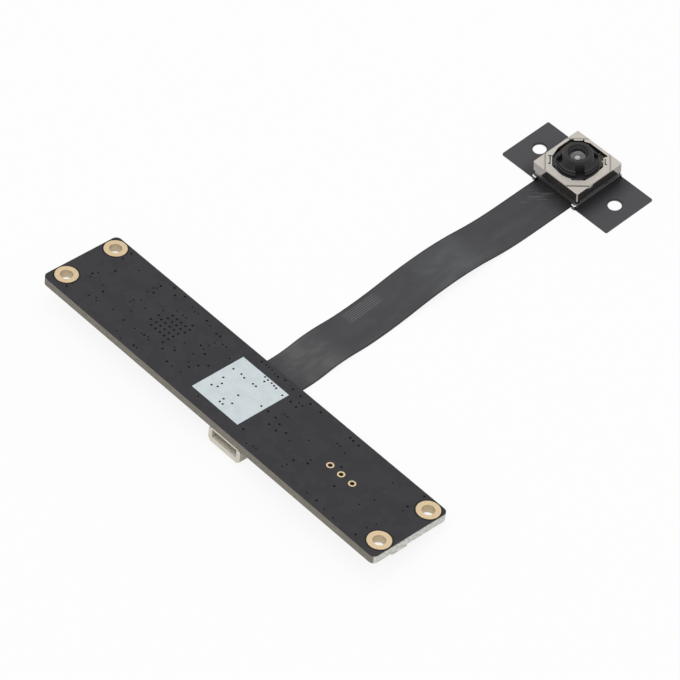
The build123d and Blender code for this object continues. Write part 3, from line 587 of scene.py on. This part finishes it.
# %% Strip of the ribbon
RIBBON_SKEW = 0.0143
STRIP_PART = (-0.058, -0.012)
strip_sides = [
    (vertex.co.x - vertex.co.y * RIBBON_SKEW) / MM
    for vertex in nodes["ribbon_cable"].data.vertices
    if STRIP_PART[0] < vertex.co.y < STRIP_PART[1]
]
STRIP_MIDDLE = (min(strip_sides) + max(strip_sides)) / 2
STRIP_HALF = (max(strip_sides) - min(strip_sides)) / 2
print("ribbon strip", round(2 * STRIP_HALF, 2), "mm wide, middle at", round(STRIP_MIDDLE, 2))

# %% [markdown]
# ## Scuffs, painted sheen and painted shade
# Beside the head pad, a few scuffs run across the ribbon at a slant. They could be modelled, but
# they have no depth, so they are noise stretched along the slant and kept within one patch. Where
# the ribbon leaves the board, the film is paler with handling wear and a painted sheen, and on its
# crest a painted sheen makes it paler. Close round the head, painted shade makes it darker. Each
# place is a soft band of distance.


# %% Scuffs beside the head pad
def slanting_scuffs(finish):
    """Mask of the scuffs, which run at a slant of 47 degrees within one patch of the film."""
    slant = finish.along((0.68, 0.73, 0))
    rise = finish.along((-0.73, 0.68, 0))
    place = finish.node("ShaderNodeCombineXYZ", {}, {0: slant * 0.25, 1: rise * 2.4})
    streaks = finish.node("ShaderNodeTexNoise", {}, {"Vector": place, "Scale": 1.0}, "Fac")
    patch = slant.band(-10.6, -9.2, -4.8, -3.0) * rise.band(-5.9, -5.3, -3.4, -2.2)
    return streaks.between(0.5, 0.62) * patch


print("scuffs ready")


# %% Tones of the film
def film_tone(finish, wear, on_pad):
    """Colour of the film before its lines: wear and painted sheen where it bends, painted shade
    round the head.
    """
    along = finish.along((0, 1, 0))
    mottle = finish.noise(4.5, detail=2.0, stretch=(1, 1.6, 1), distortion=0.5).between(0.42, 0.62)
    near_board = along.band(-65.0, -62.0, -58.0, -53.0)
    crest_sheen = along.band(-38.0, -32.0, -28.0, -23.0)
    sideways = abs(finish.along((1, 0, 0)))
    head_shade = sideways.maths("MAXIMUM", sideways, abs(along)).between(9.0, 5.8)
    colour = finish.mix(wear, (0.026, 0.026, 0.030), (0.050, 0.050, 0.055))
    colour = finish.mix(mottle * 0.5 * (1 - on_pad), colour, (0.050, 0.050, 0.053))
    # Painted sheen on the crest of the ribbon.
    colour = finish.mix(crest_sheen * (mottle * 0.4 + 0.3), colour, (0.080, 0.085, 0.090))
    # Handling wear and a painted sheen where the ribbon leaves the board.
    colour = finish.mix(near_board * (mottle * 0.6 + 0.3), colour, (0.085, 0.085, 0.087))
    colour = finish.mix(on_pad * 0.7, colour, (0.060, 0.060, 0.066))
    # Painted shade round the head, for contact shadow and the reflection of its dark sides.
    return finish.mix(head_shade * 0.75, colour, (0.010, 0.010, 0.012))


print("film tones ready")

# %% [markdown]
# ## Ribbon
# The tracks run the ribbon's whole length and show as fine ridges. They could be geometry, but
# there are more than twenty, each far thinner than the film, so a sine across the ribbon feeds
# the bump. Groups of bright lines along them are also painted into the colour as a painted
# highlight, most of all near the board. One group, between the board and the middle, stands out
# more, with the gaps between its lines painted dark as painted shade. A narrow margin along both
# edges is painted nearly black, a painted dark outline, and the head pad has no ridges.

# %% Cover film over copper tracks
TRACK_PITCH = 0.4
EDGE_MARGIN = 0.3


def cover_film():
    finish = Finish("black_cover_film")
    along = finish.along((0, 1, 0))
    across = finish.along((1, 0, 0)) + along * -RIBBON_SKEW
    on_pad = along.between(-6.0, -5.0)
    tracks = (across * (2 * math.pi / TRACK_PITCH)).ripple()
    groups = finish.noise(1.3, detail=2.0, stretch=(1, 30, 1)).between(0.42, 0.62)
    wear = finish.noise(2.4, detail=4.0, stretch=(1, 4, 1))
    fine = finish.noise(0.09, detail=3.0)
    near_board = along.band(-65.0, -62.0, -58.0, -53.0)
    raised = across.band(-3.8, -3.4, -1.5, -1.0) * along.band(-50.5, -49.0, -44.0, -42.0)
    shown = groups * (wear.between(0.5, 0.68) * 0.4 + near_board * 0.4) + raised * 1.6
    track_glints = tracks.power(3.0) * shown * (1 - on_pad)
    margin = (abs(across - STRIP_MIDDLE) - (STRIP_HALF - EDGE_MARGIN)).between(0.0, 0.08)
    colour = film_tone(finish, wear, on_pad)
    # Painted highlight: bright lines along the tracks.
    colour = finish.mix(track_glints * 0.5, colour, (0.20, 0.20, 0.205))
    # Painted shade: dark gaps between the tracks of the group that stands out.
    colour = finish.mix(raised * (1 - tracks) * 0.7, colour, (0.012, 0.012, 0.014))
    colour = finish.mix(slanting_scuffs(finish) * 0.4, colour, (0.13, 0.13, 0.135))
    colour = finish.mix(fine.between(0.66, 0.8) * 0.4, colour, (0.09, 0.09, 0.095))
    # Painted dark outline: the margins along both edges are nearly black.
    colour = finish.mix(margin * (1 - on_pad) * 0.7, colour, (0.006, 0.006, 0.007))
    ridges = tracks * groups * (1 - on_pad)
    return finish.surface(
        Base_Color=colour,
        Roughness=0.52 + wear * 0.12,
        Specular_IOR_Level=0.36,
        Normal=finish.bump(ridges * 0.7 + fine * 0.25 + wear * 0.5, 0.02),
    )


dress(cover_film(), "ribbon_cable")

# %% [markdown]
# ## Shield of the sensor head
# The shield is drawn from nickel-silver sheet. Its top is finely grained and satin, and its sides
# are drawn smooth, so they mirror the black plate and the white floor beside them. The sides are
# also painted darker than the top, as painted shade. One finish tells the two apart by which way
# the surface faces, so that they blend over the rounded edge. The drawing leaves faint upright
# lines on the sides, and a duller band along their lower edge, where the sheet was trimmed. On the
# near right side, a thin paler line is painted into that band as a painted highlight. The stepped
# corners are set off by grooves, which are painted darker than the top, with dirt and painted
# shade.


# %% Nickel silver
def nickel_silver():
    finish = Finish("nickel_silver_sheet")
    top = finish.facing((0, 0, 1)).between(0.6, 0.9)
    grain = finish.noise(0.035, detail=3.0, stretch=(3, 1, 1))
    cloud = finish.noise(1.1, detail=3.0)
    drawn = finish.noise(0.12, detail=3.0, stretch=(1, 1, 14))
    height = finish.along((0, 0, 1))
    to_corner = (abs(finish.along((1, 0, 0))) + abs(finish.along((0, 1, 0)))) * math.sqrt(0.5)
    groove = to_corner.band(5.30, 5.36, 5.50, 5.56) * top
    trimmed = height.between(2.35, 2.15) * (1 - top)
    painted_side_glint = height.band(2.00, 2.07, 2.14, 2.22) * finish.facing((1, 0, 0)).between(0.6, 0.9)
    cover = finish.mix(cloud, (0.510, 0.481, 0.440), (0.580, 0.551, 0.512))
    cover = finish.mix(grain.between(0.35, 0.6) * top * 0.35, cover, (0.38, 0.36, 0.325))
    # Dirt and painted shade in the grooves.
    cover = finish.mix(groove * 0.6, cover, (0.16, 0.15, 0.135))
    # Painted shade: the sides' colour is darker than the top's.
    side = finish.mix(drawn, (0.27, 0.255, 0.235), (0.37, 0.35, 0.32))
    # Painted highlight: the thin paler line on the near right side.
    side = finish.mix(painted_side_glint, side, (0.40, 0.39, 0.37))
    return finish.surface(
        Base_Color=finish.mix(top, side, cover),
        Metallic=1.0,
        Roughness=0.06 + top * 0.56 + grain * top * 0.08 + trimmed * 0.3 + painted_side_glint * 0.1,
        Normal=finish.bump(grain * top * 0.8 + (1 - top) * drawn * 0.5, 0.006),
    )


dress(nickel_silver(), "actuator_shield")

# %% [markdown]
# ## Tin, springs, magnets and other plain metals
# Tin plating is pale and satin. The leaf springs are rolled copper alloy, the magnets are nickel
# plated, the plug's backing is brushed steel, and the crystal has a pale lid. Each could be built
# by hand, but they differ only in numbers, so one recipe serves them all, with each metal's own
# colours, grain and gloss.


# %% Plain metals
def rolled_metal(name, dark, light, roughness, grain_size=0.06, stretch=(1, 1, 1), depth=0.004):
    finish = Finish(name)
    grain = finish.noise(grain_size, detail=3.0, stretch=stretch)
    patches = finish.noise(grain_size * 12, detail=2.0)
    return finish.surface(
        Base_Color=finish.mix(patches * 0.6 + grain * 0.4, dark, light),
        Metallic=1.0,
        Roughness=roughness + patches * 0.12,
        Normal=finish.bump(grain, depth),
    )


bronze = rolled_metal("dull_contact_bronze", (0.16, 0.125, 0.08), (0.26, 0.205, 0.14), 0.5)
tin = rolled_metal("tin_plating", grey(0.55), (0.74, 0.735, 0.72), 0.3)
spring = rolled_metal("copper_alloy_spring", (0.38, 0.245, 0.165), (0.52, 0.365, 0.26), 0.42)
magnet = rolled_metal("nickel_plated_magnet", (0.16, 0.155, 0.15), (0.24, 0.235, 0.22), 0.45)
steel = rolled_metal("satin_steel_sheet", grey(0.44), grey(0.58), 0.34, 0.05, (12, 1, 1))
lid = rolled_metal("crystal_lid_metal", (0.60, 0.57, 0.50), (0.72, 0.69, 0.62), 0.3)
dress(bronze, "cable_socket_contacts")
dress(tin, "cable_socket_tabs", "inductor_terminals", "processor_lands",
      "flash_chip_leads", "regulator_leads", "capacitor_end_caps", "resistor_end_caps")
dress(spring, "upper_leaf_spring", "lower_leaf_springs")
dress(magnet, "corner_magnets")
dress(steel, "plug_backing_plate")
dress(lid, "crystal_lid")

# %% [markdown]
# ## Coil and solder
# Two metals need more than that recipe. The coil is lacquered copper wire, wound in layers that
# show as fine grooves. Solder flows round and shines. Its upward faces carry a painted highlight,
# and its flanks are painted dark, with painted shade and a film of dark flux.

# %% Coil
WIRE_PITCH = 0.05


def wound_wire():
    """Lacquered wire in layers one pitch apart, seen as fine grooves round the coil."""
    finish = Finish("lacquered_wire")
    turns = (finish.along((0, 0, 1)) * (2 * math.pi / WIRE_PITCH)).ripple()
    tone = finish.noise(0.4, stretch=(1, 1, 0.3))
    return finish.surface(
        Base_Color=finish.mix(tone, (0.26, 0.10, 0.045), (0.38, 0.19, 0.10)),
        Metallic=0.85,
        Roughness=0.3 + tone * 0.15,
        Normal=finish.bump(turns, 0.02),
    )


dress(wound_wire(), "voice_coil")


# %% Solder
def solder_joint():
    """Painted highlight where it faces up; its flanks are painted dark, with painted shade and
    dark flux.
    """
    finish = Finish("bright_solder")
    ripple = finish.noise(0.3, detail=3.0)
    # Painted highlight on the top, and painted shade with dark flux on the flanks.
    lit_and_clean_top = (finish.facing((0, 0, 1)) + (ripple - 0.5) * 0.5).between(0.1, 0.6)
    bright = finish.mix(ripple, grey(0.7), grey(0.95))
    return finish.surface(
        Base_Color=finish.mix(lit_and_clean_top, grey(0.06), bright),
        Metallic=1.0,
        Roughness=0.12 + ripple * 0.12,
        Normal=finish.bump(ripple, 0.02),
    )


dress(solder_joint(), "base_solder_joints")

# %% [markdown]
# ## Black mouldings, chips and ceramics
# Most small parts are moulded or fired. Each has a fine grain at its own scale and a slight
# change of tone over its surface. Only the colours and gloss differ, so one recipe serves them.


# %% Mouldings and ceramics
SPECK_GAIN = 1.8


def moulded(name, dark, light, roughness, grain_size, depth=0.01):
    finish = Finish(name)
    grain = finish.noise(grain_size, detail=3.0)
    cloud = finish.noise(grain_size * 16, detail=2.0)
    speck = grain.between(0.62, 0.75)
    speck_colour = tuple(SPECK_GAIN * channel for channel in light)
    colour = finish.mix(cloud, dark, light)
    return finish.surface(
        Base_Color=finish.mix(speck * 0.3, colour, speck_colour),
        Roughness=roughness + grain * 0.12,
        Normal=finish.bump(grain, depth),
    )


dress(moulded("black_frame_moulding", grey(0.014), (0.026, 0.025, 0.028), 0.5, 0.06),
      "sensor_frame", "spring_spacer", "lens_retaining_ring")
dress(moulded("carrier_moulding", grey(0.016), grey(0.026), 0.5, 0.05), "lens_carrier")
dress(moulded("chip_mould_compound", grey(0.022), grey(0.034), 0.58, 0.05),
      "processor_chip", "flash_chip", "voltage_regulators")
dress(moulded("connector_moulding", grey(0.024), grey(0.038), 0.42, 0.07),
      "ribbon_socket", "ribbon_plug")
dress(moulded("pressed_ferrite", (0.040, 0.040, 0.042), (0.062, 0.062, 0.065), 0.6, 0.08, 0.02),
      "power_inductors")
dress(moulded("brown_ceramic", (0.11, 0.085, 0.062), (0.15, 0.12, 0.09), 0.4, 0.07),
      "crystal_base")
dress(moulded("tan_capacitor_ceramic", (0.25, 0.165, 0.10), (0.34, 0.24, 0.155), 0.35, 0.05),
      "capacitor_bodies", "sensor_capacitors")
dress(moulded("glazed_resistor_top", grey(0.020), grey(0.032), 0.28, 0.06), "resistor_bodies")
dress(moulded("black_plate_finish", (0.034, 0.034, 0.036), (0.050, 0.050, 0.053), 0.5, 0.05),
      "sensor_plate")

# %% [markdown]
# ## Base of the actuator
# The base is moulded like the frame below it, with a thin paler line painted round its sides, a
# painted highlight along its edge. It is a soft band of height, and plainer on the two sides that
# face X.


# %% Base moulding
def base_moulding():
    """Black moulding with a thin painted highlight round its sides."""
    finish = Finish("painted_highlight_moulding")
    grain = finish.noise(0.06, detail=3.0)
    height = finish.along((0, 0, 1)) + grain * 0.06
    # Painted highlight: a thin paler line round the sides.
    painted_edge_highlight = height.band(1.25, 1.4, 1.55, 1.68) * (0.35 + abs(finish.facing((1, 0, 0))) * 0.65)
    colour = finish.mix(grain, grey(0.014), (0.024, 0.023, 0.026))
    return finish.surface(
        Base_Color=finish.mix(painted_edge_highlight * 0.8, colour, (0.21, 0.21, 0.206)),
        Roughness=0.5 + grain * 0.1 - painted_edge_highlight * 0.2,
        Specular_IOR_Level=0.35,
        Normal=finish.bump(grain, 0.008),
    )


dress(base_moulding(), "actuator_base")

# %% [markdown]
# ## Lens barrel
# The barrel is black polycarbonate, finely eroded so that it does not throw light into the lens.
# It is satin: its steps and edges catch a thin line of light. The eroded grain could be modelled
# only with millions of faces, so a fine noise feeds the bump and the roughness instead.


# %% Satin barrel
def barrel_moulding():
    finish = Finish("satin_barrel_moulding")
    grain = finish.noise(0.045, detail=3.0)
    cloud = finish.noise(0.9, detail=2.0)
    return finish.surface(
        Base_Color=finish.mix(cloud, (0.010, 0.010, 0.012), (0.017, 0.017, 0.019)),
        Roughness=0.4 + grain * 0.14,
        Specular_IOR_Level=0.33,
        Normal=finish.bump(grain, 0.006),
    )


dress(barrel_moulding(), "lens_barrel")

# %% [markdown]
# ## Lens elements, filter and sensor
# The elements are clear moulded plastic with a hard coating that reflects more than bare plastic.
# Their colours are dark tints, painted shade that keeps the inside of the lens dim. The coating
# could be a second shader mixed in, but the shader's own coat does it with two numbers. The coat
# of the front element is a little hazy, so the lamp's image on it is soft. The filter is thin
# coated glass, and the sensor under it is polished silicon that looks dark green-grey over the
# area with its rows of pixels.


# %% Optics
SMEAR_GAIN = 1.06


def clear_optic(name, tint, coat, coat_ior, haze=0.01, coat_haze=0.02):
    finish = Finish(name)
    smear = finish.noise(0.5, detail=2.0)
    smeared = tuple(min(1.0, SMEAR_GAIN * channel) for channel in tint)
    return finish.surface(
        Base_Color=finish.mix(smear, tint, smeared),
        Roughness=smear * 0.02 + haze,
        Transmission_Weight=1.0,
        IOR=1.54,
        Coat_Weight=coat,
        Coat_Roughness=coat_haze,
        Coat_IOR=coat_ior,
    )


# Painted shade: the lens elements' dark tints keep the inside of the lens dim.
dress(clear_optic("coated_front_element", (0.14, 0.16, 0.17), 1.0, 1.7, coat_haze=0.12),
      "front_lens_element")
dress(clear_optic("coated_inner_element", (0.20, 0.26, 0.28), 0.0, 1.5, haze=0.35),
      "second_lens_element", "third_lens_element", "rear_lens_element")
dress(clear_optic("infrared_filter_glass", (0.75, 0.92, 0.95), 1.0, 1.7), "infrared_filter")

# %% Sensor
PIXEL_ROWS = 0.06
PIXEL_AREA_HALF = (2.7, 2.05)


def sensor_silicon():
    finish = Finish("sensor_silicon")
    x, y = finish.along((1, 0, 0)), finish.along((0, 1, 0))
    rows = (y * (2 * math.pi / PIXEL_ROWS)).ripple()
    active = (abs(x) < PIXEL_AREA_HALF[0]) * (abs(y) < PIXEL_AREA_HALF[1])
    pixels = finish.mix(rows, (0.02, 0.05, 0.045), (0.03, 0.06, 0.055))
    return finish.surface(
        Base_Color=finish.mix(active, (0.12, 0.11, 0.07), pixels),
        Roughness=0.12 + rows * 0.04,
        Coat_Weight=1.0,
    )


dress(sensor_silicon(), "image_sensor")

# %% [markdown]
# ## Vias
# A via is a plated hole, 0.3 to 0.4 mm across, that joins copper layers. Under solder mask it
# shows as a small dark dimple. Where copper pours meet, the vias are deeper and show clearly.
# Others are nearly filled with mask. Their places follow no rule that a loop could give, apart
# from the grid over the processor, so they are listed by where they are on the board, in
# millimetres along and across from its middle.

# %% Via positions
THERMAL_ROWS = 5
THERMAL_PITCH = 1.05
THERMAL_CORNER = (-20.2, -1.45)
FAR_ROWS_SHIFT = 0.45
thermal_vias = [
    (THERMAL_CORNER[0] + column * THERMAL_PITCH + (FAR_ROWS_SHIFT if row > 2 else 0.0),
     THERMAL_CORNER[1] + row * THERMAL_PITCH)
    for row in range(THERMAL_ROWS) for column in range(THERMAL_ROWS)
]
deep_vias = thermal_vias + [
    (-35.6, -6.5), (-35.4, -1.2), (-35.2, 7), (-35.1, 5.1), (-33.6, 2.2), (-31, -2.6),
    (-26.3, 5.8), (-25.8, 3.8), (-24.6, 7.3), (-23.8, -4.3), (-23.2, 6.2), (-22, 7.3),
    (-21.3, -0.6), (-21.2, 1), (-19.1, -3.9), (-18.3, -6.8), (-16, -2.6), (-16, 3.8),
    (-15.5, 6.4), (-14.9, -3.6), (-13.4, -2.3), (-12.2, -5), (-12.2, 5.6), (-11.7, 1.8),
    (-11.4, 5.7), (-9.8, 1), (-9.1, -3), (-8.4, -1.6), (-7.4, -0.3), (-2.9, 7.1), (1.3, 6.9),
    (2.6, 7.3), (4.9, 6.9), (6.2, 0.4), (6.8, -5.4), (6.8, 4.7), (6.8, 6.8), (8, 0.4),
    (8.2, 4.6), (8.5, -1.4), (9.1, 6.9), (9.5, -0.1), (10.2, -1.5), (11.5, 6.9), (11.6, -0.6),
    (16.8, -3.7), (18.6, 6.8), (18.7, -2.4), (19.4, 6.7), (20.7, 6.7), (22.5, 1.3),
    (24.9, -2.4), (25.5, -6.7), (34.6, -6.8), (35.2, 3.7), (35.2, 7.3),
]
filled_vias = [
    (-35.6, -5.4), (-35, -1.9), (-35, -0.3), (-32.2, -1.7), (-31.7, -5), (-31.3, 5.4),
    (-30.6, -4.4), (-30, -4.9), (-26.8, -4.1), (-26.7, 4.5), (-26.6, 3.2), (-26.5, -0.6),
    (-26.5, 0.1), (-26.3, 5), (-25.7, 1.1), (-24.7, -1.9), (-23.8, 0.3), (-22.5, -6.8),
    (-21.6, 2.3), (-21.2, -4.1), (-20.8, -7.4), (-20.2, 4.1), (-19.7, -4), (-19.3, 6.6),
    (-18.8, 4.1), (-18.4, -3.7), (-18.3, 6.2), (-18, 4.1), (-17.8, -4.1), (-17.6, -6.8),
    (-17.6, 6.4), (-14.3, 6), (-13.9, -1.9), (-13.8, 0.1), (-11, -0.5), (-10.9, -5.1),
    (-10.9, 2.8), (-10.8, 1.6), (-10.8, 4), (-10, -2.3), (-9.7, 4.8), (-9, -4.9), (-8.9, 4.8),
    (-6.6, 3.5), (-3.2, -6.2), (-1.9, 7.2), (-1.2, 7.2), (-0.4, 7.2), (0.5, 6.9), (7.8, 5.6),
    (8.3, 2), (8.6, 5.6), (9, 2.1), (9.5, -7.1), (10.6, -6.7), (11.3, -6.7), (13.2, -1.3),
    (15, 1.2), (16.7, -6), (16.8, -5.1), (18.3, 4.3), (18.4, -1.5), (19, 4.3), (20.6, 3.8),
    (23.4, -6.8), (27.6, -7), (29.8, -7.2), (30, 5.4), (30.2, -2), (31, 0.5), (34.6, -4.5),
    (34.9, -2.7), (35.4, 2.5),
]
square_vias = [
    (-4.4, 2.4), (-3.9, -0.2), (-3.8, -2.8), (-3, -1.3), (-2.9, -2.3), (-2.7, 2.6), (-1.8, 2.4),
    (-0.2, -3.4), (-0.1, -4.3), (0.1, 2.6), (0.1, 5.2), (0.6, -4.3), (0.6, -1), (0.8, 2.6),
    (0.8, 4.4), (0.9, 5.1), (1.4, -3), (1.8, 5.1), (2.5, 5), (3.1, 4.9), (4.7, 0.3), (4.9, 4.6),
]
print(len(deep_vias), "deep,", len(filled_vias), "filled,", len(square_vias), "in the print")

# %% [markdown]
# ## Dimples for the vias
# A via could be a dark spot in the board's finish, but a spot has no relief. Each is a small mesh
# instead, and bmesh builds a whole set of them as one piece: three rings of points a few
# micrometres above the board, joined by faces and closed in the middle. So each catches light
# from the side. They ride on the board's body.

# %% Dimple mesh
DIMPLE_SIDES = 14
DIMPLE_RINGS = ((1.0, 0.001), (0.72, 0.008), (0.55, 0.003))


def dimples(name, centres, surface_height, radius):
    """One mesh of shallow round dimples: an outer rim, a low ring inside it, a sunken middle."""
    mesh = bmesh.new()
    turns = [2 * math.pi * side / DIMPLE_SIDES for side in range(DIMPLE_SIDES)]
    for x, y in centres:
        rings = []
        for share, height in DIMPLE_RINGS:
            reach = radius * share
            rings.append([
                mesh.verts.new(on_board(x + reach * math.cos(turn), y + reach * math.sin(turn),
                                        surface_height + height))
                for turn in turns
            ])
        for outer, inner in zip(rings, rings[1:]):
            for side in range(DIMPLE_SIDES):
                following = (side + 1) % DIMPLE_SIDES
                mesh.faces.new((outer[side], outer[following], inner[following], inner[side]))
        mesh.faces.new(rings[-1])
    data = bpy.data.meshes.new(name)
    mesh.to_mesh(data)
    mesh.free()
    piece = bpy.data.objects.new(name, data)
    bpy.context.scene.collection.objects.link(piece)
    return piece


print("dimple:", DIMPLE_SIDES, "sides,", len(DIMPLE_RINGS), "rings")

# %% [markdown]
# ## Via pieces
# The copper in a via is under a thin film of mask. The vias are painted nearly black, as painted
# shade in their holes, and the deep ones darkest, because their middles catch the least light.
# Those in the white print start from its surface, which is a little above the board's.

# %% Vias on the board
PRINT_THICKNESS = 0.03


# Painted shade: the vias' colours are near black.
def via_painted_shade(name, dark, light):
    finish = Finish(name)
    tone = finish.noise(0.1, detail=2.0)
    return finish.surface(
        Base_Color=finish.mix(tone, grey(dark), grey(light)),
        Roughness=0.75 + tone * 0.1,
        Specular_IOR_Level=0.1,
        Normal=finish.bump(tone, 0.003),
    )


for name, centres, height, radius, shades in (
    ("deep_vias", deep_vias, 0.0, 0.22, (0.002, 0.006)),
    ("filled_vias", filled_vias, 0.0, 0.17, (0.006, 0.012)),
    ("print_square_vias", square_vias, PRINT_THICKNESS, 0.2, (0.003, 0.010)),
):
    piece = dimples(name, centres, height, radius)
    piece.data.materials.append(via_painted_shade(name + "_mask", *shades))
    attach(piece, "module")
    print(name, len(piece.data.polygons), "faces")

# %% [markdown]
# ## Close
# The view layer is brought up to date once more, so that every piece added here has its place.

# %% Update the view layer
bpy.context.view_layer.update()
